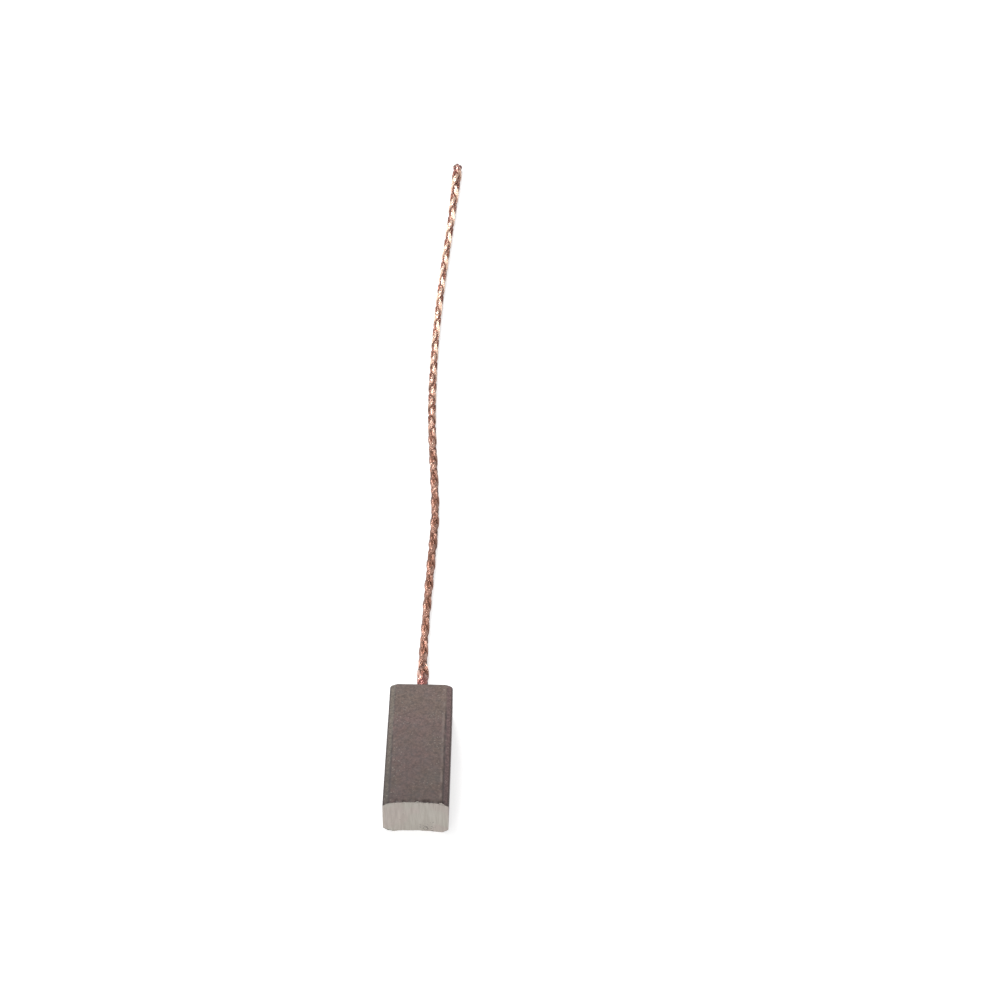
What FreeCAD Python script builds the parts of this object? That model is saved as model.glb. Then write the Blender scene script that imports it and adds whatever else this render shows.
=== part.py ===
import FreeCAD, Part
import math
import os

# Carbon brush with a moulded-in copper lead, lying on one broad face.
# Millimetres. +Y runs along the brush from its running face to its lead,
# +X across its width, +Z up through its thickness. The origin is the middle
# of the block's footprint on the surface that it lies on.

# Block of pressed carbon and copper powder
brush_width = 8.0
brush_thickness = 5.2
brush_length = 20.0

# Bevels along the four long edges, flatter on the upper face than on the lower one
bevel_width = 0.7
lower_bevel_height = 0.7
upper_bevel_height = 0.3

# Slip ring that has ground the running face hollow
slip_ring_radius = 22.0

# Braided copper lead, its end pressed into the block when that was moulded
lead_diameter = 1.1
lead_bury_depth = 7.0
lead_exit_height = brush_thickness / 2

# Share of the shorter of its two runs that an arc of the lead takes up
arc_share = 0.45

brush_front_y = -brush_length / 2
brush_rear_y = brush_length / 2
lead_radius = lead_diameter / 2
lead_lying_height = lead_radius

# Route of the free lead: across the brush, behind its rear face, and up.
# Straight out, down to the surface, then along it in one long lazy S.
lead_route = [
    (0.00, 0.0, lead_exit_height),
    (0.00, 3.2, lead_exit_height),
    (-0.20, 9.2, lead_lying_height),
    (-0.04, 18.0, lead_lying_height),
    (0.22, 27.0, lead_lying_height),
    (0.58, 37.0, lead_lying_height),
    (-0.01, 47.0, lead_lying_height),
    (-0.67, 57.0, lead_lying_height),
    (-0.88, 67.0, lead_lying_height),
    (-0.83, 78.0, lead_lying_height),
    (-0.45, 90.0, lead_lying_height),
    (0.24, 103.0, lead_lying_height),
    (0.97, 115.0, lead_lying_height),
    (1.49, 129.1, lead_lying_height),
]


def block_section():
    """Outline of the block across its length: a rectangle with bevelled corners."""
    side = brush_width / 2
    face = side - bevel_width
    low = lower_bevel_height
    high = brush_thickness - upper_bevel_height
    corners = [
        (-face, 0),
        (face, 0),
        (side, low),
        (side, high),
        (face, brush_thickness),
        (-face, brush_thickness),
        (-side, high),
        (-side, low),
    ]
    points = [FreeCAD.Vector(x, brush_front_y, z) for x, z in corners]
    return Part.makePolygon(points + points[:1])


def slip_ring():
    """The ring's cylinder, upright, at the place where its grinding ended.

    Its surface passes through both front corners, so the brush keeps its
    stated length at its sides and is hollow between them."""
    reach = math.sqrt(slip_ring_radius ** 2 - (brush_width / 2) ** 2)
    foot = FreeCAD.Vector(0, brush_front_y - reach, -brush_thickness)
    return Part.makeCylinder(slip_ring_radius, 3 * brush_thickness, foot)


def lead_socket():
    """The blind hole that the powder formed round the buried end of the lead."""
    bottom = FreeCAD.Vector(0, brush_rear_y - lead_bury_depth, lead_exit_height)
    return Part.makeCylinder(lead_radius, lead_bury_depth, bottom, FreeCAD.Vector(0, 1, 0))


def carbon_block():
    """Bevelled bar with a hollow running face and the socket of the lead."""
    bar = Part.Face(block_section()).extrude(FreeCAD.Vector(0, brush_length, 0))
    return bar.cut(slip_ring()).cut(lead_socket())


def rounded_corner(before, corner, after):
    """Start, middle, end and radius of the arc that rounds one corner of the route.

    The arc takes its share of the shorter run, so its radius is that length
    divided by the tangent of half the turn."""
    back = (before - corner).normalize()
    onward = (after - corner).normalize()
    half_turn = (math.pi - back.getAngle(onward)) / 2
    shorter = min(before.distanceToPoint(corner), after.distanceToPoint(corner))
    setback = arc_share * shorter
    radius = setback / math.tan(half_turn)
    inward = (back + onward).normalize()
    middle = corner + inward * (radius / math.cos(half_turn) - radius)
    return corner + back * setback, middle, corner + onward * setback, radius


def lead_path():
    """Middle line of the lead: the buried end, then runs joined by tangent arcs."""
    points = [FreeCAD.Vector(x, brush_rear_y + y, z) for x, y, z in lead_route]
    start = points[0] - FreeCAD.Vector(0, lead_bury_depth, 0)
    edges = [Part.LineSegment(start, points[0]).toShape()]
    radii = []
    start = points[0]
    for before, corner, after in zip(points, points[1:], points[2:]):
        arc_start, arc_middle, arc_end, radius = rounded_corner(before, corner, after)
        edges.append(Part.LineSegment(start, arc_start).toShape())
        edges.append(Part.Arc(arc_start, arc_middle, arc_end).toShape())
        radii.append(radius)
        start = arc_end
    edges.append(Part.LineSegment(start, points[-1]).toShape())
    return Part.Wire(edges), radii


def report_lead(tube, path, radii):
    """Print the arcs' radii, the lengths, and the volume against section times length."""
    expected = math.pi * lead_radius ** 2 * path.Length
    print("radii of the lead's arcs, mm:", ", ".join(f"{radius:.1f}" for radius in radii))
    print(f"smallest radius: {min(radii) / lead_diameter:.1f} diameters")
    print(f"lead: {path.Length:.2f} mm in all, {path.Length - lead_bury_depth:.2f} mm of it free")
    print(f"lead volume: {tube.Volume:.3f} mm3, section times length: {expected:.3f} mm3")


def copper_lead():
    """The lead as a plain tube, from its buried end to its cut end."""
    path, radii = lead_path()
    start = path.Vertexes[0].Point
    section = Part.Wire(Part.makeCircle(lead_radius, start, FreeCAD.Vector(0, 1, 0)))
    tube = path.makePipeShell([section], True, False)
    report_lead(tube, path, radii)
    return tube


def write_piece(name, shape):
    """Check that the piece is one closed solid and write it to its file."""
    solids = shape.removeSplitter().Solids
    if len(solids) != 1 or not solids[0].isValid():
        raise ValueError(f"{name} is not one valid solid")
    solid = solids[0]
    box = solid.optimalBoundingBox()
    print(f"{name}: {solid.Volume:.3f} mm3,",
          f"x {box.XMin:.3f} to {box.XMax:.3f},",
          f"y {box.YMin:.3f} to {box.YMax:.3f},",
          f"z {box.ZMin:.3f} to {box.ZMax:.3f}")
    solid.exportStep(os.path.join("parts", name + ".step"))


os.makedirs("parts", exist_ok=True)
write_piece("carbon_block", carbon_block())
write_piece("copper_lead", copper_lead())
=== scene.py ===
# %% [markdown]
# A carbon brush is a bar of pressed carbon and copper powder that a spring
# pushes against a turning slip ring. Its current leaves through a braided
# copper lead that was moulded into its rear end.
#
# The solid model is the fixed frame of this scene: it has the true sizes, in
# metres here, and the looks are built around it. It could be measured again by
# eye, but loading it keeps every length in one place.

import math

import bpy
import numpy as np
from mathutils import Matrix, Vector, noise


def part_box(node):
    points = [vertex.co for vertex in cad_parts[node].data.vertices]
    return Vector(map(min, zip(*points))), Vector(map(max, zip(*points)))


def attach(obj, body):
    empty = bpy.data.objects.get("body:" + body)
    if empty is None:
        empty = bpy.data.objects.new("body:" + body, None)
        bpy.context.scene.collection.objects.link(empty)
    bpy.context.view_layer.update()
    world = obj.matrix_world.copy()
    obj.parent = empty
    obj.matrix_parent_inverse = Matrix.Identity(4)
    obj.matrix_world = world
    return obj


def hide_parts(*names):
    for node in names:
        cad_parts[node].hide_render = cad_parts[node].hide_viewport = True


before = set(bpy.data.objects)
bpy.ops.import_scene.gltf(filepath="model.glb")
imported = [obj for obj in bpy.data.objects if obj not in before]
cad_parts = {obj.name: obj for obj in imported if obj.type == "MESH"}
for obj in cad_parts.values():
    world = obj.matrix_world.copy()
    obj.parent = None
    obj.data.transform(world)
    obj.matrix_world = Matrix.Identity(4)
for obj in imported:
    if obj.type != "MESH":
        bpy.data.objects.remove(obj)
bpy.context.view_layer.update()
block_low, block_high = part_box("carbon_block")
mm = 0.001
block_length = block_high.y - block_low.y
half_width = (block_high.x - block_low.x) / 2
half_thickness = (block_high.z - block_low.z) / 2
print(f"block: {2 * half_width / mm:.1f} x {block_length / mm:.1f} x {2 * half_thickness / mm:.1f} mm")

# %% [markdown]
# The camera comes first, because the lead has to stay in its view. A camera can
# be placed by hand, but here it is described as a photographer would: the point
# on the table that it is aimed at, how far away it stands, how steeply it looks
# down, which way it faces, and how far it is tipped to one side. A longish lens
# from 30 centimetres away keeps the sides of the brush almost parallel.

# %% Camera
aim_point = Vector((9.692, 51.580, 0.0)) * mm
camera_distance = 302.26 * mm
looking_down = math.radians(41.476)
facing_left = math.radians(-0.392)
tipped = math.radians(1.417)


def add_object(name, data):
    """Put a mesh, curve, lamp or camera into the scene as an object."""
    made = bpy.data.objects.new(name, data)
    bpy.context.scene.collection.objects.link(made)
    return made


camera_data = bpy.data.cameras.new("camera")
camera_data.lens = 75.6
camera_data.sensor_width = 36.0
camera_data.clip_start = 0.02
camera_data.clip_end = 20.0
camera = add_object("camera", camera_data)
camera_turn = (
    Matrix.Rotation(facing_left, 4, "Z")
    @ Matrix.Rotation(math.pi / 2 - looking_down, 4, "X")
    @ Matrix.Rotation(tipped, 4, "Z")
)
camera_back = camera_turn @ Vector((0.0, 0.0, camera_distance))
camera.matrix_world = Matrix.Translation(aim_point + camera_back) @ camera_turn
bpy.context.scene.camera = camera
print("camera stands at", [round(value / mm, 1) for value in camera.matrix_world.translation], "mm")

# %% [markdown]
# The lead leaves the middle of the rear face, goes straight out for three
# diameters, drops to the table and lies there in one long lazy S. A chain of
# straight pieces would look like bent wire, and a simulation would lie
# differently each time its settings change. A NURBS spline is drawn towards a
# few given points without passing through them, so its line has no corners.
# Its order is set after its points, or it would stay at straight runs.

# %% Route of the lead
lead_diameter = 1.1 * mm
exit_height = 2.6
lying_height = lead_diameter / 2 / mm
# across the brush, behind its rear face, and up, in millimetres
lead_route = [
    (0.00, 0.0, exit_height),
    (0.00, 3.2, exit_height),
    (-0.20, 9.2, lying_height),
    (-0.04, 18.0, lying_height),
    (0.22, 27.0, lying_height),
    (0.58, 37.0, lying_height),
    (-0.01, 47.0, lying_height),
    (-0.67, 57.0, lying_height),
    (-0.88, 67.0, lying_height),
    (-0.83, 78.0, lying_height),
    (-0.45, 90.0, lying_height),
    (0.24, 103.0, lying_height),
    (0.97, 115.0, lying_height),
    (1.49, 129.1, lying_height),
]
print(f"route of {len(lead_route)} points, {lead_route[-1][1] / (lead_diameter / mm):.0f} diameters long")

# %% [markdown]
# Blender works out the spline itself, so a throw-away curve is made from the
# route, read point by point and deleted. Its formula could be written out in
# Python, but the curve is shorter and already right.

# %% Spline of the lead


def points_along_spline(route):
    """Points that a NURBS spline drawn by the route passes, read from a curve."""
    curve = bpy.data.curves.new("route", "CURVE")
    curve.dimensions = "3D"
    curve.resolution_u = 24
    spline = curve.splines.new("NURBS")
    spline.points.add(len(route) - 1)
    for point, (across, behind, up) in zip(spline.points, route):
        point.co = (across * mm, block_high.y + behind * mm, up * mm, 1.0)
    spline.order_u = 3
    spline.use_endpoint_u = True
    holder = add_object("route", curve)
    bpy.context.view_layer.update()
    mesh = bpy.data.meshes.new_from_object(holder)
    points = np.array([vertex.co for vertex in mesh.vertices])
    bpy.data.objects.remove(holder)
    bpy.data.curves.remove(curve)
    bpy.data.meshes.remove(mesh)
    return points


def lengths_along(points):
    """The distance of each point from the first one, along the line through them."""
    steps = np.linalg.norm(np.diff(points, axis=0), axis=1)
    return np.concatenate([[0.0], np.cumsum(steps)])


spline_points = points_along_spline(lead_route)
spline_reach = lengths_along(spline_points)
lead_length = float(spline_reach[-1])
print(f"free lead: {lead_length / mm:.1f} mm along {len(spline_points)} points")

# %% [markdown]
# The braid is plaited from four bundles of fine wires. Two wind to the left and
# two to the right, and each goes over one bundle and under the next, like a
# plait of hair. An array of one modelled link or a displacement map would do
# from far away. Here every wire is a thin tube of its own, worked out from how
# such a braid is made: the bundle's angle round the lead grows with the
# distance along it, and its distance from the middle swings in and out.
#
# First come the places along the lead. They are evenly spaced, they start a
# little way inside the block, and each has two directions across the lead. They
# stop just short of the route's end, where the cutter squeezed the wires off.

# %% Stations along the lead
buried = 1.0 * mm
cut_back = 0.4 * mm
station_step = 0.37 * mm
station_count = int((lead_length + buried) / station_step) + 1
reach = np.linspace(-buried, lead_length - cut_back, station_count)
along_share = reach / lead_length


def spaced_along(points, distances, wanted):
    """Points at the wanted distances along a line, going straight on before its start."""
    columns = [np.interp(wanted, distances, points[:, axis]) for axis in range(3)]
    middle = np.stack(columns, axis=1)
    before = np.minimum(wanted, 0.0)[:, None]
    first_direction = points[1] - points[0]
    return middle + before * first_direction / np.linalg.norm(first_direction)


def unit(vectors):
    """The same directions, each of length one."""
    return vectors / np.linalg.norm(vectors, axis=-1, keepdims=True)


lead_middle = spaced_along(spline_points, spline_reach, reach)
lead_along = unit(np.gradient(lead_middle, axis=0))
lead_side = unit(np.cross(lead_along, np.array([0.0, 0.0, 1.0])))
lead_up = np.cross(lead_side, lead_along)
print(f"{station_count} stations, {station_step / mm:.2f} mm apart")

# %% [markdown]
# A real braid isn't the same all the way. It is loose and full where it comes
# out of the block, firm in its middle, and spread at its cut end. A few values
# along the lead say how full it is and how long one turn of a bundle is, and
# the numbers between them are interpolated.

# %% How full and how long-laid the braid is
# pairs: millimetres along the lead, and how full the braid is there
full_places = [
    (-1.0, 0.98), (1.2, 1.40), (3.2, 1.62), (4.9, 1.50), (7.0, 1.27), (9.5, 1.18),
    (13.0, 1.07), (17.0, 1.07), (26.0, 1.17), (39.0, 1.16), (52.0, 1.16), (66.0, 1.17),
    (81.0, 1.05), (98.0, 1.13), (112.0, 1.16), (119.0, 1.30), (125.0, 1.60), (129.0, 1.55),
]
# pairs: millimetres along the lead, and millimetres to one turn of a bundle there
lay_places = [
    (-1.0, 13.0), (5.0, 12.0), (11.0, 9.2), (20.0, 8.2),
    (40.0, 8.9), (65.0, 10.4), (110.0, 13.6), (129.0, 14.4),
]


def at_every_station(pairs):
    """A value at every station, from pairs of millimetres along the lead and the value there."""
    places, values = zip(*pairs)
    return np.interp(reach / mm, places, values)


fullness = at_every_station(full_places)
lay_length = at_every_station(lay_places) * mm
turn = np.concatenate([[0.0], np.cumsum(2 * math.pi * np.diff(reach) / lay_length[1:])])
print(f"a bundle goes round {turn[-1] / (2 * math.pi):.1f} times")

# %% [markdown]
# Nothing in a braid lies quite true. A sum of slow waves with seeded random
# phases gives a wander that is smooth, different for every wire, and the same in
# each run. The lead is also twisted by an eighth of a turn, a little before half
# way along. Nearer to the block the crossings lie on its top and sides. Beyond
# they lie between these, so that from above two rows of bright links take turns
# in a zigzag.

# %% Wander and twist
random = np.random.default_rng(11)
wavelengths = np.array([31.0, 17.0, 9.0, 5.3]) * mm
sway_angle = math.radians(9)
twist_places = [(44.0, 0.0), (60.0, math.radians(45))]


def slow_waves(size):
    """A smooth random value along the lead, about as large as size."""
    total = np.zeros(station_count)
    for wavelength in wavelengths:
        phase = random.uniform(0, 2 * math.pi)
        total += np.sin(2 * math.pi * reach / wavelength + phase)
    return size * total / 2


braid_sway = slow_waves(sway_angle) + at_every_station(twist_places)
print(f"the braid is turned by up to {math.degrees(np.abs(braid_sway).max()):.0f} degrees")

# %% [markdown]
# Each bundle of the braid is a strand of fine wires, side by side. It widens and
# flattens where it crosses another one, and wraps round the lead like a strap. A
# cage of curves could be drawn for it by hand, but its section changes all the
# time. So a bundle only says where a line at some angle on its section runs. Its
# sizes are shares of the lead's radius, and its wander is an angle.

# %% Bundles of the braid
lead_radius = lead_diameter / 2
bundle_swing = 0.17
bundle_middle = 0.565
bundle_half_thick = 0.35
thinner_at_crossings = 0.11
bundle_half_wide = 0.42
wider_at_crossings = 0.40
bundle_wrap = 0.42
bundle_wander = 0.10


class Bundle:
    """The middle of one bundle at every station, its two directions and its half sizes."""

    def __init__(self, left_handed, start_angle):
        way = -1 if left_handed else 1
        over = np.cos(2 * turn) * way
        angle = way * turn + start_angle + braid_sway + slow_waves(bundle_wander)
        full_radius = lead_radius * fullness
        from_middle = (bundle_middle + bundle_swing * over) * full_radius
        flat = np.cos(2 * turn) ** 2
        self.out = np.cos(angle)[:, None] * lead_side + np.sin(angle)[:, None] * lead_up
        self.across = np.cross(lead_along, self.out)
        self.middle = lead_middle + from_middle[:, None] * self.out
        self.half_out = (bundle_half_thick - thinner_at_crossings * flat) * full_radius
        self.half_across = (bundle_half_wide + wider_at_crossings * flat) * full_radius

    def line(self, angle, lift):
        """A line on the bundle's section at that angle from its outer side."""
        sideways = (self.half_across + lift) * np.sin(angle)
        wrapped = bundle_wrap * sideways ** 2 / lead_radius
        outward = (self.half_out + lift) * np.cos(angle) - wrapped
        return self.middle + outward[:, None] * self.out + sideways[:, None] * self.across


bundles = [
    Bundle(left_handed, half_turns * math.pi)
    for left_handed in (False, True)
    for half_turns in (0, 1)
]
print(f"{len(bundles)} bundles")

# %% [markdown]
# A wire is a thin tube: a ring of points at every station. Blender's curves can
# bevel themselves into tubes too, but they turn their rings as they like. Here
# one corner of each ring stays on the bundle's outer side, which keeps a tube of
# only four sides looking round where it is seen.

# %% Rings of a tube


def tube_rings(line, outward, radius, sides):
    """Rings round a line, with one corner of each ring on its outward side."""
    direction = unit(np.gradient(line, axis=0))
    up = unit(outward - np.sum(outward * direction, axis=1, keepdims=True) * direction)
    side = np.cross(direction, up)
    angles = (np.arange(sides) * 2 * math.pi / sides)[None, :, None]
    wheel = np.cos(angles) * up[:, None, :] + np.sin(angles) * side[:, None, :]
    return line[:, None, :] + np.broadcast_to(radius, len(line))[:, None, None] * wheel


print("rings are laid across each line of the braid")

# %% [markdown]
# Each ring is joined to the next one by quads, and the tubes are closed at both
# ends. Every wire could be an object, but one mesh is one piece, as the braid
# is. It also lets every point carry values of its own, which the copper finish
# reads later: the wire's tone with a painted highlight on a bundle's ridge and
# painted shade at its sides, how far along the lead it is, how far it stands out
# from the lead's middle, and how far up.

# %% Tubes in one mesh


class TubeMesh:
    """Gathers tubes and makes one mesh of them."""

    def __init__(self):
        self.points = []
        self.quads = []
        self.caps = []
        self.values = {"wire_tone_and_painted_light": [], "along_lead": [], "in_the_open": [], "upper_side": []}

    def add(self, rings, shade):
        """rings: stations x sides x 3 points. shade: one value, or one for each side."""
        stations, sides, _ = rings.shape
        first = sum(len(points) for points in self.points)
        number = first + np.arange(stations * sides).reshape(stations, sides)
        beside = np.roll(number, -1, axis=1)
        quads = np.stack([number[:-1], beside[:-1], beside[1:], number[1:]], axis=-1)
        self.points.append(rings.reshape(-1, 3))
        self.quads.append(quads.reshape(-1, 4))
        self.caps.append(number[0][::-1].tolist())
        self.caps.append(number[-1].tolist())
        from_middle = rings - lead_middle[:, None, :]
        full_radius = (lead_radius * fullness)[:, None]
        values = {
            "wire_tone_and_painted_light": np.broadcast_to(shade, (stations, sides)),
            "along_lead": np.broadcast_to(along_share[:, None], (stations, sides)),
            "in_the_open": np.linalg.norm(from_middle, axis=2) / full_radius,
            "upper_side": from_middle[:, :, 2] / full_radius,
        }
        for label, value in values.items():
            self.values[label].append(value.reshape(-1))

    def object(self, name):
        """The mesh object of all tubes that were added."""
        points = np.concatenate(self.points)
        faces = np.concatenate(self.quads).tolist() + self.caps
        mesh = bpy.data.meshes.new(name)
        mesh.from_pydata(points.tolist(), [], faces)
        for label, values in self.values.items():
            attribute = mesh.attributes.new(label, "FLOAT", "POINT")
            attribute.data.foreach_set("value", np.concatenate(values).astype(np.float32))
        mesh.shade_smooth()
        mesh.update()
        return add_object(name, mesh)


def triangle_count(mesh):
    """How many triangles the faces of a mesh come to."""
    return sum(len(face.vertices) - 2 for face in mesh.polygons)


braid = TubeMesh()
print("each point of the braid carries:", ", ".join(braid.values))

# %% [markdown]
# The wires go on the outer part of each bundle, over a core that keeps light
# from passing between them. The wires and core along a bundle's ridge carry a
# painted highlight, and those down at its sides carry painted shade, which draws
# the outline of each link.
# The lowest wires are pressed flat by the table. Inside them all, one plain tube
# fills the middle, as the inner wires of a real braid do.

# %% Wires, cores and filling
wires_per_bundle = 14
wire_radius = 0.036 * mm
wire_sides = 4
wire_spread = math.radians(128)
wire_wander = 0.075
wire_lift = 0.010 * mm
wire_sink = 0.4 * wire_radius
ridge_width = math.radians(60)
side_brightness = 0.05
dullest_wire = 0.85
core_sides = 8
core_sink = 1.1 * wire_radius
core_brightness = 0.85
filling_sides = 12
filling_share = 0.52
filling_shade = 0.2
table_clearance = 0.004 * mm


def painted_ridge_light(angle):
    """1 on the ridge of a bundle, a painted highlight, and nearly 0 down at its sides, painted shade."""
    return side_brightness + (1 - side_brightness) * np.exp(-(angle / ridge_width) ** 4)


def pressed_on_table(points):
    """The points, with none lower than a wire that lies on the table."""
    points[..., 2] = np.maximum(points[..., 2], table_clearance + wire_radius)
    return points


core_angles = np.arange(core_sides) * 2 * math.pi / core_sides
# the cores also carry a painted highlight on the ridge and painted shade at the sides
core_painted_light = core_brightness * painted_ridge_light(np.minimum(core_angles, 2 * math.pi - core_angles))
for bundle in bundles:
    core_lines = [bundle.line(np.full(station_count, angle), -core_sink) for angle in core_angles]
    braid.add(pressed_on_table(np.stack(core_lines, axis=1)), core_painted_light)
    for place in np.linspace(-wire_spread, wire_spread, wires_per_bundle):
        wander = place + slow_waves(wire_wander)
        line = pressed_on_table(bundle.line(wander, slow_waves(wire_lift) - wire_sink))
        # painted highlight on the ridge and painted shade at the sides, times a random tone for each wire
        shade = painted_ridge_light(place) * random.uniform(dullest_wire, 1.0)
        braid.add(tube_rings(line, line - bundle.middle, wire_radius, wire_sides), shade)

filling_radius = filling_share * lead_radius * fullness
braid.add(tube_rings(lead_middle, lead_up, filling_radius, filling_sides), filling_shade)

lead = braid.object("braided_lead")
print(f"braid: {triangle_count(lead.data):,} triangles")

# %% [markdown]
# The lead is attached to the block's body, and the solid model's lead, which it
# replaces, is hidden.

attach(lead, "root")
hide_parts("copper_lead")

# %% [markdown]
# The block is one loft: a chain of closed outlines that starts round the lead,
# spreads over the rear face, runs along the brush and closes on the hollow
# front face. A box with bevels would give the same form with fewer points, but
# it has none where they are needed: the crumbled edges, the chips and the
# grooves of the die are moved points, so the outlines lie close together there.
#
# Its section is a rectangle with bevelled corners, which chip less than sharp
# ones. The upper bevels are flatter than the lower ones.

# %% Outline of the block's section
bevel = 0.7 * mm
upper_bevel_height = 0.3 * mm
corner_round = 0.10 * mm
points_per_corner = 6
outline_points = 264


def section_outline():
    """Evenly spaced points round the bevelled section, as x and z from its middle."""
    high = half_thickness - upper_bevel_height
    low = half_thickness - bevel
    face = half_width - bevel
    corners = np.array([
        (half_width, high), (face, half_thickness), (-face, half_thickness), (-half_width, high),
        (-half_width, -low), (-face, -half_thickness), (face, -half_thickness), (half_width, -low),
    ])
    rounded = []
    lasts = np.roll(corners, 1, axis=0)
    followings = np.roll(corners, -1, axis=0)
    for corner, last, following in zip(corners, lasts, followings):
        start = corner + unit(last - corner) * corner_round
        end = corner + unit(following - corner) * corner_round
        for share in np.linspace(0, 1, points_per_corner):
            rounded.append((1 - share) ** 2 * start + 2 * share * (1 - share) * corner + share ** 2 * end)
    rounded = np.array(rounded + rounded[:1])
    length = lengths_along(rounded)
    wanted = np.linspace(0, length[-1], outline_points, endpoint=False)
    return np.stack([np.interp(wanted, length, rounded[:, axis]) for axis in range(2)], axis=1)


outline = section_outline()
print(f"section outline: {len(outline)} points")

# %% [markdown]
# The ring that the brush runs on has ground its front face hollow. The depth of
# the hollow at each place across follows from the ring's radius, as in the
# solid model: the ring passes through both front corners. At the rear, the
# vertical corners are well rounded and the edges above and below only a little,
# so an outline there shrinks by one distance across and by another one up.

# %% Running face and rear corners
ring_radius = 22.0 * mm
ring_reach = math.sqrt(ring_radius ** 2 - half_width ** 2)
rear_corner = 0.45 * mm
rear_edge = 0.12 * mm


def ground_face(x):
    """How far along the brush the running face lies, at x across it."""
    return block_low.y - ring_reach + np.sqrt(ring_radius ** 2 - x ** 2)


def ring_of_points(flat, y):
    """A closed outline in the block, from x and z in its section and its place along it."""
    return np.stack([flat[:, 0], np.broadcast_to(y, len(flat)), flat[:, 1] + half_thickness], axis=1)


def shrunk(across, up):
    """The outline moved inwards by one distance across and another one up."""
    return outline * (1 - np.array([across / half_width, up / half_thickness]))


def round_inset(radius, depth):
    """How far in a rounded corner lies, at a depth behind the face that it leads to."""
    return radius - math.sqrt(radius ** 2 - max(radius - depth, 0.0) ** 2)


print(f"the running face is {(ground_face(0.0) - block_low.y) / mm:.2f} mm deep in its middle")

# %% [markdown]
# The outlines are laid from the rear to the front: down in the socket that the
# lead fills, out over the rear face, round its edge, along the block, and
# inwards over the running face. They lie closest where the block wears most.

# %% Outlines of the block
socket_radius = 0.56 * lead_diameter
# depth behind the rear face, in millimetres, and how much wider than the socket
socket_mouth = [(0.9, 1.0), (0.35, 1.05), (0.12, 1.2), (0.03, 1.5)]
rear_steps = 16
edge_steps = 9
length_steps = 170
# how far in from the section's outline, in millimetres
front_insets = [0.03, 0.07, 0.12, 0.18, 0.25, 0.34, 0.45, 0.6, 0.8, 1.05, 1.35, 1.65, 1.95, 2.2, 2.4]

outline_angle = np.arctan2(outline[:, 1], outline[:, 0])
socket = socket_radius * np.stack([np.cos(outline_angle), np.sin(outline_angle)], axis=1)
loops = [ring_of_points(socket * wider, block_high.y - depth * mm) for depth, wider in socket_mouth]

widest_socket = socket * socket_mouth[-1][1]
rear_face = shrunk(rear_corner, rear_edge)
for share in np.linspace(0.06, 1, rear_steps):
    loops.append(ring_of_points(widest_socket * (1 - share) + rear_face * share, block_high.y))
for turned in np.linspace(0, math.pi / 2, edge_steps + 1)[1:]:
    depth = rear_corner * (1 - math.cos(turned))
    flat = shrunk(round_inset(rear_corner, depth), round_inset(rear_edge, depth))
    loops.append(ring_of_points(flat, block_high.y - depth))

sides_start = block_high.y - rear_corner
sides_length = ground_face(outline[:, 0]) - sides_start
for share in np.linspace(0, 1, length_steps + 1)[1:]:
    loops.append(ring_of_points(outline, sides_start + sides_length * share))
for inset in front_insets:
    inner = shrunk(inset * mm, inset * mm)
    loops.append(ring_of_points(inner, ground_face(inner[:, 0])))
loops = np.array(loops)
print(f"block: {len(loops)} outlines of {outline_points} points")

# %% [markdown]
# The outlines are joined like hoops: quads between each one and the next, and a
# fan of triangles at either end, in the socket and on the running face. Blender
# can bridge loops of edges by itself, but then the numbers of the points, which
# tell where on the bar each one lies, would be lost.

# %% Mesh of the block


def block_mesh():
    """The loft as a mesh, closed in the socket and on the running face."""
    rows, columns, _ = loops.shape
    number = np.arange(rows * columns).reshape(rows, columns)
    beside = np.roll(number, -1, axis=1)
    faces = np.stack([number[:-1], beside[:-1], beside[1:], number[1:]], axis=-1).reshape(-1, 4).tolist()
    points = loops.reshape(-1, 3).tolist()
    front = loops[-1].mean(axis=0)
    points.append([front[0], float(ground_face(0.0)), front[2]])
    points.append(loops[0].mean(axis=0).tolist())
    front_centre = rows * columns
    back_centre = front_centre + 1
    for column in range(columns):
        faces.append([int(beside[-1, column]), front_centre, int(number[-1, column])])
        faces.append([int(number[0, column]), back_centre, int(beside[0, column])])
    mesh = bpy.data.meshes.new("carbon_bar")
    mesh.from_pydata(points, [], faces)
    mesh.update()
    return mesh


carbon_mesh = block_mesh()
print(f"block: {len(carbon_mesh.vertices)} points, {len(carbon_mesh.polygons)} faces")

# %% [markdown]
# Pressed powder is rough, and its edges tell how it was made and used. The die
# left a fine groove where each bevel starts, deeper towards the front, and the
# skin beside the right one is rubbed pale. Sculpting could do that by hand. Here
# wear is a few moves of the points along their own normals, from Blender's noise
# functions, which give the same value at the same place in every run.

# %% Grooves and rubbed lips
groove_width = 0.12 * mm
groove_depth = 0.035 * mm
seam_offset = 0.03 * mm
seam_waver = 0.05 * mm
waver_size = 0.6 * mm
patch_size = 0.9 * mm
lip_offset = 0.27 * mm
lip_width = 0.15 * mm
lip_patch_size = 1.0 * mm
groove_gain = 1.9
rear_fade_start = block_high.y - 2.5 * mm
rear_fade_end = block_high.y - 6.0 * mm
left_lip_share = 0.2
right_lip_share = 0.9


def smooth_step(low, high, value):
    """0 at low, 1 at high, and a smooth change between them."""
    share = min(max((value - low) / (high - low), 0.0), 1.0)
    return share * share * (3 - 2 * share)


def hump(distance, width):
    """1 at distance 0, and falling away over a width to either side."""
    return math.exp(-(distance / width) ** 2)


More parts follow.
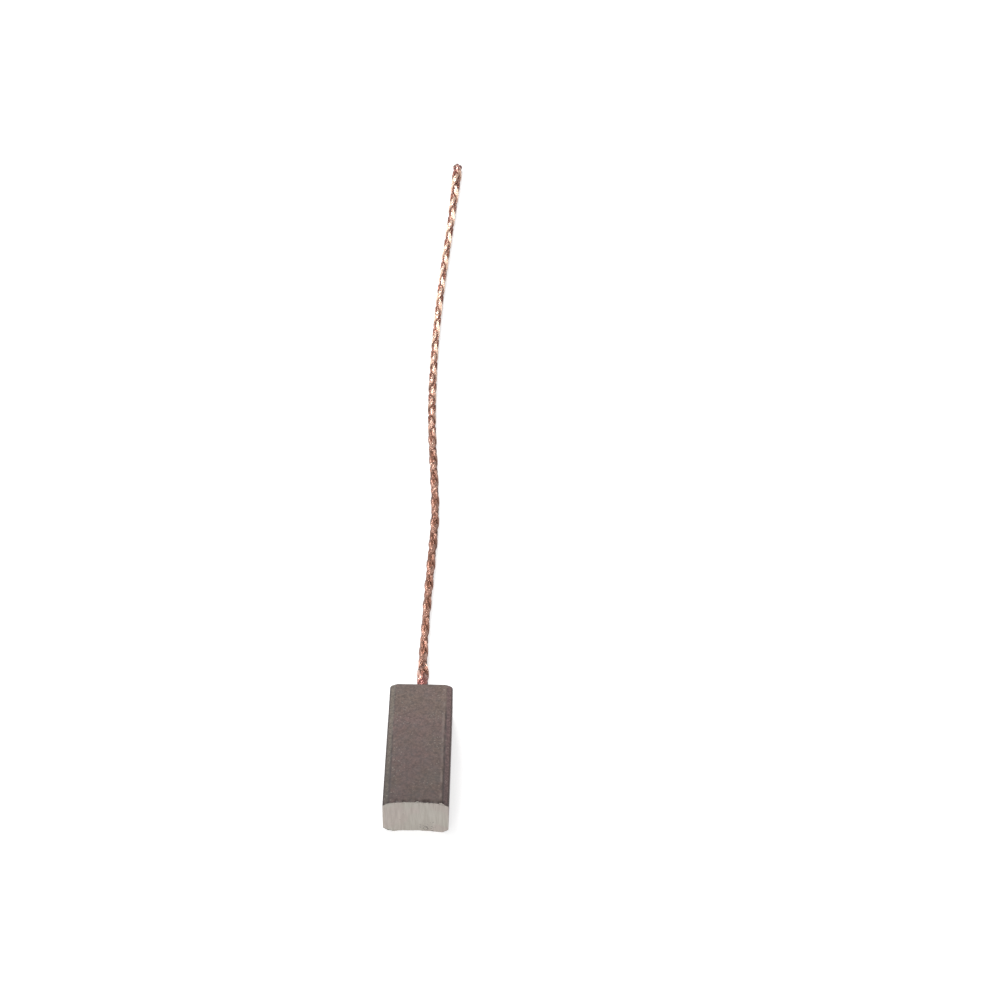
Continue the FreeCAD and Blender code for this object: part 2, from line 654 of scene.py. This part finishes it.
def groove_and_lip(place, from_side, from_face):
    """How much of the groove beside a bevel a point has, and of the rubbed lip beside that."""
    seam = from_side - bevel - seam_offset - seam_waver * noise.noise(place / waver_size)
    patchy = 0.8 + 0.9 * noise.noise(place / patch_size)
    broken = 0.35 + 1.8 * noise.noise(place / lip_patch_size)
    forward = smooth_step(block_high.y, block_low.y, place.y)
    off_rear = smooth_step(rear_fade_start, rear_fade_end, place.y)
    on_right = place.x > 0
    # the right groove ends short of the rear, and the left one is faint there
    fresh = off_rear * (0.45 + 0.55 * forward) if on_right else 0.15 + 0.75 * forward
    groove = hump(seam, groove_width) * smooth_step(0.25 * mm, 0.0, from_face)
    lip = hump(seam - lip_offset, lip_width) * smooth_step(0.1 * mm, 0.0, from_face)
    groove *= min(1.0, max(0.0, patchy) * fresh * groove_gain)
    lip *= (right_lip_share if on_right else left_lip_share) * min(1.0, max(0.0, broken))
    return groove, lip


print(f"the grooves are {groove_depth / mm:.3f} mm deep")

# %% [markdown]
# The edge over the running face has crumbled in small bites, because pressed
# powder breaks off in grains. The lower left front corner is rounded, with a
# chip out of it. Bites cut out with booleans would have clean facets, so the
# points sink by a ragged noise instead, which dies away from the edge.

# %% Crumbled edge and chipped corner
crumble_reach = 0.75 * mm
crumble_depth = 0.27 * mm
crumble_size = 0.70 * mm
lower_edge_share = 0.25
bite_level = 0.22
corner_depth = 0.12 * mm
rounded_corner = Vector((-3.70 * mm, block_low.y, 0.30 * mm))
rounded_reach = 1.1 * mm
corner_chip = Vector((-3.15 * mm, block_low.y, 0.0))
chip_reach = 0.40 * mm


def crumble_and_bite(place, front, from_face):
    """How near the crumbled edge a point is, and how deep the powder has broken out there."""
    upper = 1.0 if place.z > half_thickness else lower_edge_share
    crumble = smooth_step(crumble_reach, 0.0, front) * smooth_step(0.5 * mm, 0.0, from_face) * upper
    ragged = noise.fractal(place / crumble_size + Vector((3.1, 0.0, 7.7)), 0.8, 2.3, 5)
    return crumble, max(0.0, ragged + bite_level)


def corner_loss(place, bite):
    """How far the lower left front corner is rounded and chipped away."""
    rounding = smooth_step(rounded_reach, 0.2 * mm, (place - rounded_corner).length)
    chipping = smooth_step(chip_reach, 0.1 * mm, (place - corner_chip).length)
    return corner_depth * (rounding + chipping * (0.7 + bite))


print(f"the edge has crumbled over {crumble_reach / mm:.2f} mm")

# %% [markdown]
# Each point is moved once, by everything that wears it, and by the fine grain and
# slow swell of pressed powder. The same sums say how ground, crumbled, grooved
# and rubbed the point is, and where shade is painted along the bevels' outer
# edges and the rear rim, so that the finish can colour just those places.

# %% Wear of the block
grain_size = 0.45 * mm
grain_depth = 0.006 * mm
swell_size = 3.1 * mm
swell_depth = 0.012 * mm
bevel_edge_width = 0.13 * mm
rear_rim_width = 0.22 * mm


def wear(place, normal):
    """How far a point sinks, and its grinding, crumbling, grooves, painted edge shade and lip."""
    front = place.y - float(ground_face(place.x))
    from_side = half_width - abs(place.x)
    from_face = half_thickness - abs(place.z - half_thickness)
    is_ground = smooth_step(-0.25, -0.75, normal.y) if front < 1.5 * mm else 0.0
    groove, lip = groove_and_lip(place, from_side, from_face)
    crumble, bite = crumble_and_bite(place, front, from_face)

    grain = noise.fractal(place / grain_size, 0.9, 2.1, 4) * grain_depth
    swell = noise.noise(place / swell_size) * swell_depth
    inward = (grain + swell) * (1 - is_ground) + groove * groove_depth
    inward += crumble * bite * crumble_depth + corner_loss(place, bite)

    bevel_height = upper_bevel_height if place.z > half_thickness else bevel
    # painted shade along the bevels' outer edges and along the rear rim
    outer_edge = hump(from_face - bevel_height, bevel_edge_width) * smooth_step(0.3 * mm, 0.0, from_side)
    from_rear = block_high.y - place.y
    rear_rim = smooth_step(rear_rim_width, 0.05 * mm, from_rear) * smooth_step(0.2 * mm, 0.0, from_face)
    grooves_and_painted_edge_shade = max(groove, outer_edge, 0.8 * rear_rim)
    return inward, is_ground, crumble * min(1.0, 0.25 + 3.5 * bite), grooves_and_painted_edge_shade, lip


print(f"the grain is {grain_depth / mm:.3f} mm deep, the swell {swell_depth / mm:.3f} mm")

# %% [markdown]
# All new places are worked out before any point moves, because a normal depends
# on the points around it. Nothing may leave the solid model's box. Then the
# block, like the lead, is attached to the body, and the solid that it replaces is
# hidden.

# %% Move the points
worn = {label: [] for label in ("ground_face", "crumbled", "grooves_and_painted_edge_shade", "rubbed_lip")}
moved = []
for vertex in carbon_mesh.vertices:
    inward, *amounts = wear(vertex.co, vertex.normal)
    moved.append(vertex.co - vertex.normal * inward)
    for values, amount in zip(worn.values(), amounts):
        values.append(amount)
for vertex, place in zip(carbon_mesh.vertices, moved):
    vertex.co = [min(max(value, low), high) for value, low, high in zip(place, block_low, block_high)]
for label, values in worn.items():
    carbon_mesh.attributes.new(label, "FLOAT", "POINT").data.foreach_set("value", values)
carbon_mesh.shade_smooth()
carbon_mesh.update()

block = add_object("carbon_bar", carbon_mesh)
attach(block, "root")
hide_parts("carbon_block")
print(f"block: {triangle_count(carbon_mesh):,} triangles")

# %% [markdown]
# A finish is a small program for the renderer, built from nodes. Wiring them by
# hand in the editor is clear for five nodes and muddled for fifty, so the sums
# are written here as Python: a Shade holds one output of a node, and adding or
# multiplying two Shades makes the Math node that does it.

# %% Shader sums written as Python


class Shade:
    """One value in a finish, which the usual signs add Math nodes to."""

    def __init__(self, finish, socket):
        self.finish = finish
        self.socket = socket

    def math(self, operation, *values):
        """A Math node's result."""
        return self.finish.node("ShaderNodeMath", *values, settings={"operation": operation})

    def __add__(self, other):
        return self.math("ADD", self, other)

    def __sub__(self, other):
        return self.math("SUBTRACT", self, other)

    def __rsub__(self, other):
        return self.math("SUBTRACT", other, self)

    def __mul__(self, other):
        return self.math("MULTIPLY", self, other)

    def __abs__(self):
        return self.math("ABSOLUTE", self)

    __radd__ = __add__
    __rmul__ = __mul__

    def between(self, low, high, to_low=0.0, to_high=1.0):
        """The value mapped from one range to another, with a smooth end at both."""
        return self.finish.node(
            "ShaderNodeMapRange",
            settings={"interpolation_type": "SMOOTHSTEP", "clamp": True},
            Value=self, From_Min=low, From_Max=high, To_Min=to_low, To_Max=to_high,
        )

    def other(self, output):
        """Another output of the node that this value comes from."""
        return Shade(self.finish, self.socket.node.outputs[output])


print("a Shade can be added, subtracted, multiplied and mapped between two values")

# %% [markdown]
# A Finish holds the nodes of one material, or of the world. Every node comes
# from its one method, node, which makes the node, changes its settings first,
# because they decide which sockets it has, and then fills the sockets. The
# methods after it are short names for the nodes that are used most. Object
# coordinates don't slide over the brush when the camera or the pose changes.

# %% Nodes of a finish


class Finish:
    """A material or a world and the nodes that it is made of."""

    def __init__(self, owner):
        self.owner = owner
        owner.use_nodes = True
        self.tree = owner.node_tree
        self.tree.nodes.clear()

    def node(self, kind, *ordered, settings=None, output=None, **named):
        """Add a node: its settings first, then the values or links of its sockets."""
        made = self.tree.nodes.new(kind)
        for name, value in (settings or {}).items():
            setattr(made, name, value)
        free = [socket for socket in made.inputs if socket.enabled]
        filled = list(zip(free, ordered))
        for name, value in named.items():
            label = name.replace("_", " ")
            filled.append((next(socket for socket in free if socket.name == label), value))
        for socket, value in filled:
            if isinstance(value, Shade):
                self.tree.links.new(value.socket, socket)
            else:
                socket.default_value = value
        outputs = [socket for socket in made.outputs if socket.enabled and output in (None, socket.name)]
        return Shade(self, outputs[0]) if outputs else None

    def blend(self, amount, first, second, way="MIX"):
        """A colour between two, or one laid on the other in another way."""
        settings = {"data_type": "RGBA", "blend_type": way, "clamp_factor": True}
        return self.node("ShaderNodeMix", settings=settings, Factor=amount, A=first, B=second)

    def darkened(self, colour, tone):
        """A colour multiplied by a tone, where 1 leaves it as it is."""
        grey = self.node("ShaderNodeCombineColor", tone, tone, tone)
        return self.blend(1.0, colour, grey, "MULTIPLY")

    def attribute(self, name):
        """A value that the mesh carries at each of its points."""
        return self.node("ShaderNodeAttribute", settings={"attribute_name": name}, output="Fac")

    def place(self, stretch=(1.0, 1.0, 1.0)):
        """The object's own coordinates in millimetres, stretched if wanted."""
        where = self.node("ShaderNodeTexCoord", output="Object")
        scale = tuple(value / mm for value in stretch)
        return self.node("ShaderNodeVectorMath", where, scale, settings={"operation": "MULTIPLY"})

    def clouds(self, where, scale, detail=3.0, roughness=0.5):
        """Smooth noise from 0 to 1, mostly near 0.5, with that many clouds to a millimetre."""
        return self.node(
            "ShaderNodeTexNoise",
            Vector=where, Scale=scale, Detail=detail, Roughness=roughness,
        )

    def bump(self, height, distance, strength, **under):
        """A normal tilted as if the surface rose with the height."""
        return self.node("ShaderNodeBump", Height=height, Distance=distance, Strength=strength, **under)

    def material(self, **looks):
        """The finished material, from the values of its Principled shader."""
        shader = self.node("ShaderNodeBsdfPrincipled", **looks)
        self.node("ShaderNodeOutputMaterial", Surface=shader)
        return self.owner


print("a Finish can add nodes, blends, clouds and bumps")

# %% [markdown]
# Colours are easiest to judge as a paint chart gives them, from 0 to 255, but
# the renderer counts light itself, in which a middle grey is far below one half.
# This is the standard step from one to the other.

# %% Paint colours


def rgb(red, green, blue):
    """A colour as a paint chart gives it, 0 to 255, turned into the renderer's linear values."""
    def linear(value):
        value /= 255
        return value / 12.92 if value <= 0.04045 else ((value + 0.055) / 1.055) ** 2.4
    return (linear(red), linear(green), linear(blue), 1.0)


print("a paint value of 114 is", round(rgb(114, 99, 95)[0], 3), "in linear light")

# %% [markdown]
# The skin of pressed carbon with copper powder is a matt brown-grey. Slow clouds
# of a warmer and a greener grey lie under a fine grain, with pale flecks of
# metal and dark pores. Both bevels are painted lighter, as light falls on them,
# greyer at the left and pinker at the right. The skin is painted lighter towards
# the rear and darker towards the running face, as a sheen of the lamp behind it,
# and it is a little darker still at the left front. Then come the places that
# the mesh marks: pale rubbed lips, dark grooves, painted shade along the bevels'
# outer edges and the rear rim, and the dark crumbled edge. A photograph wrapped
# round the bar would look as rich from one side only.

# %% Colour of the pressed skin


def skin_colour(finish, where, grain, mottle, pores):
    """The brown-grey of the pressed sides, with flecks, pores, worn places and painted light."""
    across = finish.node("ShaderNodeSeparateXYZ", where, output="X")
    behind = across.other("Y")
    patches = finish.clouds(where, 0.22, detail=2.0, roughness=0.55)
    skin = finish.blend(patches.between(0.35, 0.65), rgb(98, 77, 73), rgb(94, 78, 70))
    # the bevels start 3.3 mm from the middle, greyer at the left and pinker at the right,
    # both painted lighter, as light falls on them
    skin = finish.blend(across.between(-3.22, -3.36) * 0.7, skin, rgb(106, 98, 88))
    skin = finish.blend(across.between(3.22, 3.36) * 0.7, skin, rgb(114, 92, 92))

    # painted sheen: lighter towards the rear and darker towards the running face, and a little darker
    # still at the left front
    left_front = across.between(-2.4, -3.4) * behind.between(-1.0, -8.0)
    forward = behind.between(11.0, -11.0, 1.20, 0.76) * (1 - left_front * 0.20)
    tone = mottle.between(0.25, 0.75, 0.83, 1.17) * grain.between(0.28, 0.72, 0.62, 1.38)
    skin = finish.darkened(skin, tone * forward)

    spots = finish.node("ShaderNodeTexVoronoi", Vector=where, Scale=3.1, output="Distance")
    strewn = finish.clouds(where, 0.5, detail=2.0).between(0.40, 0.60, 0.05, 0.55)
    flecks = spots.between(0.30, 0.12) * strewn * abs(across).between(0.0, 3.0, 0.4, 1.1)
    skin = finish.blend(flecks, skin, rgb(168, 157, 148))
    skin = finish.blend(pores * 0.65, skin, rgb(66, 56, 53))

    skin = finish.blend(finish.attribute("rubbed_lip") * 0.55, skin, rgb(146, 130, 122))
    # dark grooves, and painted shade along the bevels' outer edges and the rear rim
    skin = finish.blend(finish.attribute("grooves_and_painted_edge_shade"), skin, rgb(50, 38, 37))
    return finish.blend(finish.attribute("crumbled"), skin, rgb(50, 40, 38))


print("skin: two greys, flecks, pores, lips, grooves and crumbled edge")

# %% [markdown]
# The running face was ground by the ring, so it is much paler, with fine lines
# up and down where the ring's surface has scored it. They are clouds that are
# squeezed across and drawn out upwards. A few pits show in it, most of them low
# down right of the middle. It is painted a little lighter towards its lower edge,
# against the shade that the table casts there, and darker at its upper edge.

# %% Colour of the running face


def ground_colour(finish, where, lines):
    """The pale grey of the running face, with its lines and pits."""
    across = finish.node("ShaderNodeSeparateXYZ", where, output="X")
    up = across.other("Z")
    streaks = lines.between(0.3, 0.7)
    pinkish = finish.blend(streaks, rgb(188, 177, 169), rgb(205, 195, 187))
    greenish = finish.blend(streaks, rgb(188, 181, 171), rgb(204, 198, 189))
    colour = finish.blend(finish.clouds(where, 0.35, detail=1.0).between(0.42, 0.58), pinkish, greenish)

    pits = finish.clouds(where, 2.2, detail=1.0).between(0.72, 0.78)
    colour = finish.blend(pits * 0.6, colour, rgb(120, 110, 104))
    low_right = across.between(0.3, 0.8) * across.between(2.5, 2.0) * up.between(1.5, 1.0)
    spots = finish.clouds(where, 3.2, detail=2.0, roughness=0.7).between(0.54, 0.60)
    colour = finish.blend(low_right * spots * 0.8, colour, rgb(96, 86, 82))
    # painted light: lighter towards the lower edge, against the table's shade there
    return finish.darkened(colour, up.between(5.4, -0.2, 0.95, 1.07))


print("running face: two pale greys, scored lines and pits")

# %% [markdown]
# One material with a mask does both, because on the real brush it is one stuff
# with two surfaces. The grain and the scored lines also tilt the surface a
# little, which takes the look of plastic away. Both are far too fine to model.

# %% Carbon finish


def carbon_finish():
    """Pressed skin all over, and ground carbon where the mesh says so."""
    finish = Finish(bpy.data.materials.new("pressed_carbon"))
    where = finish.place()
    ground = finish.attribute("ground_face")
    mottle = finish.clouds(where, 0.9, detail=4.0, roughness=0.6)
    grain = finish.clouds(where, 3.0, detail=3.0, roughness=0.65)
    pores = finish.clouds(where, 3.4, detail=2.0).between(0.60, 0.70)
    lines = finish.clouds(finish.place(stretch=(4.2, 1.0, 0.45)), 1.0, detail=3.0, roughness=0.6)
    skin = skin_colour(finish, where, grain, mottle, pores)
    fine = finish.bump(grain + pores * -0.8, 0.012 * mm, 0.6)
    return finish.material(
        Base_Color=finish.blend(ground, skin, ground_colour(finish, where, lines)),
        Roughness=ground * -0.15 + mottle.between(0.2, 0.8, 0.58, 0.72),
        Normal=finish.bump(lines * ground, 0.006 * mm, 0.5, Normal=fine),
        Metallic=0.0,
    )


carbon_mesh.materials.append(carbon_finish())
print(f"carbon finish: {len(carbon_mesh.materials[0].node_tree.nodes)} nodes")

# %% [markdown]
# Bare copper wire is a clean metal, so nearly all its colour is what it
# reflects. What stands out from the braid and lies on its upper side is painted
# bright, partly as rubbed copper and partly as a painted highlight of the lamps,
# and the lower flanks carry painted shade. The hollows are brown, partly tarnish
# and partly painted shade. The crowns are pale copper in the far half, partly a
# painted highlight of the lamps beyond it, and browner in the near half, with one
# stained stretch. Heat has reddened the root, and its base, where it goes into
# the block, is darker. A painted highlight lies on the left side of the root,
# and the wires are burnt at the cut end. One plain copper colour would be
# quicker, but it would show none of that history. Places along the lead are
# shares of its length, from 0 at the block to 1 at the cut end.

# %% Copper finish


def copper_finish():
    """Bare copper with a painted highlight on the crowns, painted shade and tarnish below."""
    finish = Finish(bpy.data.materials.new("braided_copper"))
    where = finish.place()
    shade = finish.attribute("wire_tone_and_painted_light")
    along = finish.attribute("along_lead")
    # painted light: a painted highlight where wires stand out and lie on top, and painted shade in the
    # hollows and on the lower flanks, over the brown tarnish there
    outward = finish.attribute("in_the_open").between(0.62, 0.80)
    upper = finish.attribute("upper_side").between(0.0, 0.55, 0.42, 1.0)
    # the far half is paler, partly a painted highlight of the lamps beyond it
    near_half = along.between(0.75, 0.25)
    crown_and_painted_highlight = finish.blend(near_half, rgb(252, 226, 206), rgb(190, 150, 134))
    hollow = finish.blend(near_half, rgb(124, 70, 56), rgb(126, 84, 68))
    colour = finish.blend(outward * shade * upper, hollow, crown_and_painted_highlight)

    dull = finish.clouds(where, 0.16, roughness=0.6).between(0.35, 0.7)
    colour = finish.blend(dull * 0.25, colour, rgb(136, 98, 80))
    stained = along.between(0.19, 0.27) * along.between(0.46, 0.36)
    colour = finish.blend(stained * 0.30, colour, rgb(122, 86, 74))

    heated = along.between(0.040, 0.020)
    colour = finish.blend(heated * 0.6, colour, rgb(140, 82, 84))
    # darker at the base of the root, where the lead goes into the block
    base = along.between(0.026, 0.020)
    colour = finish.blend(base * 0.5, colour, rgb(124, 72, 70))
    # a painted highlight on the left side of the root
    left_side = finish.node("ShaderNodeSeparateXYZ", where, output="X").between(0.15, -0.10)
    painted_root_highlight = along.between(0.020, 0.026) * along.between(0.046, 0.040) * left_side
    colour = finish.blend(painted_root_highlight * shade * 0.8, colour, rgb(240, 198, 182))
    burnt = along.between(0.972, 0.984) * finish.clouds(where, 1.7).between(0.42, 0.50)
    colour = finish.blend(burnt * 0.85, colour, rgb(118, 66, 68))
    rough = dull * 0.12 + shade * -0.06 + 0.24
    return finish.material(Base_Color=colour, Roughness=rough, Metallic=1.0)


lead.data.materials.append(copper_finish())
print(f"copper finish: {len(lead.data.materials[0].node_tree.nodes)} nodes")

# %% [markdown]
# A product photo is taken on a white table in white surroundings. The table is
# one plane that takes the shadow. It lies a hair below the block, because two
# surfaces at one height flicker. What the camera sees of it is lifted to white
# by a little light of its own that only camera, mirror and glass rays see, so
# the brush isn't lit by it. Stronger lamps would whiten the table too, but they
# would bleach the brush.

# %% Table
paper_white = (0.80, 0.80, 0.80, 1.0)
paper_glow = 0.60


def seen_directly(finish):
    """1 for rays that come straight from the camera, or by way of a mirror or glass."""
    camera_ray = finish.node("ShaderNodeLightPath", output="Is Camera Ray")
    return camera_ray + camera_ray.other("Is Glossy Ray") + camera_ray.other("Is Transmission Ray")


def table_finish():
    """White paper that glows a little, but only for rays that see it directly."""
    finish = Finish(bpy.data.materials.new("white_table"))
    paper = finish.node("ShaderNodeBsdfDiffuse", Color=paper_white)
    glow = finish.node("ShaderNodeEmission", Strength=paper_glow)
    lifted = finish.node("ShaderNodeAddShader", paper, glow)
    surface = finish.node("ShaderNodeMixShader", seen_directly(finish), paper, lifted)
    finish.node("ShaderNodeOutputMaterial", Surface=surface)
    return finish.owner


def flat_sheet(name, side, height, steps=4):
    """A flat square on the table, divided so that it is a proper mesh piece."""
    corners = steps + 1
    points = [
        (side * (column / steps - 0.5), side * (row / steps - 0.5), height)
        for row in range(corners)
        for column in range(corners)
    ]
    firsts = [row * corners + column for row in range(steps) for column in range(steps)]
    faces = [(first, first + 1, first + corners + 1, first + corners) for first in firsts]
    mesh = bpy.data.meshes.new(name)
    mesh.from_pydata(points, [], faces)
    return add_object(name, mesh)


table = flat_sheet("table", side=3.0, height=-0.02 * mm)
table.data.materials.append(table_finish())
print(f"table: {len(table.data.polygons)} faces")

# %% [markdown]
# Beyond the table's edge is the world. It is plain white to the camera, and it
# sends the brush only the dim, even light of a white room. A picture of a real
# room would give livelier reflections, but it would need an image file.

# %% World
room_light = 0.45
bpy.context.scene.world = bpy.data.worlds.new("studio")
studio = Finish(bpy.context.scene.world)
white = (1.0, 1.0, 1.0, 1.0)
dim = studio.node("ShaderNodeBackground", Color=white, Strength=room_light)
bright = studio.node("ShaderNodeBackground", Color=white, Strength=1.0)
sky = studio.node("ShaderNodeMixShader", seen_directly(studio), dim, bright)
studio.node("ShaderNodeOutputWorld", Surface=sky)
print(f"world: {len(studio.tree.nodes)} nodes")

# %% [markdown]
# The light is that of a big soft lamp high up behind the brush, a little to the
# left. A small lamp beyond it gives the copper wires their glints, and a weak
# one in front keeps the running face from going dark.

# %% Lamps


def soft_lamp(name, place, aim, size, power):
    """A square lamp at a place, in metres, facing a point."""
    data = bpy.data.lights.new(name, "AREA")
    data.size = size
    data.energy = power
    lamp = add_object(name, data)
    lamp.location = place
    lamp.rotation_euler = (Vector(aim) - Vector(place)).to_track_quat("-Z", "Y").to_euler()


brush_place = (0.0, 0.04, 0.0)
far_lead = (0.0, 0.105, 0.0)
soft_lamp("big_soft_lamp", (-0.30, 0.66, 0.62), brush_place, 0.50, 4.6)
soft_lamp("glint_lamp", (-0.135, 0.84, 0.488), far_lead, 0.09, 1.5)
soft_lamp("front_fill", (-0.15, -0.75, 0.35), brush_place, 0.40, 1.6)
bpy.context.scene.view_settings.view_transform = "Standard"
print(f"{len(bpy.data.lights)} lamps set")
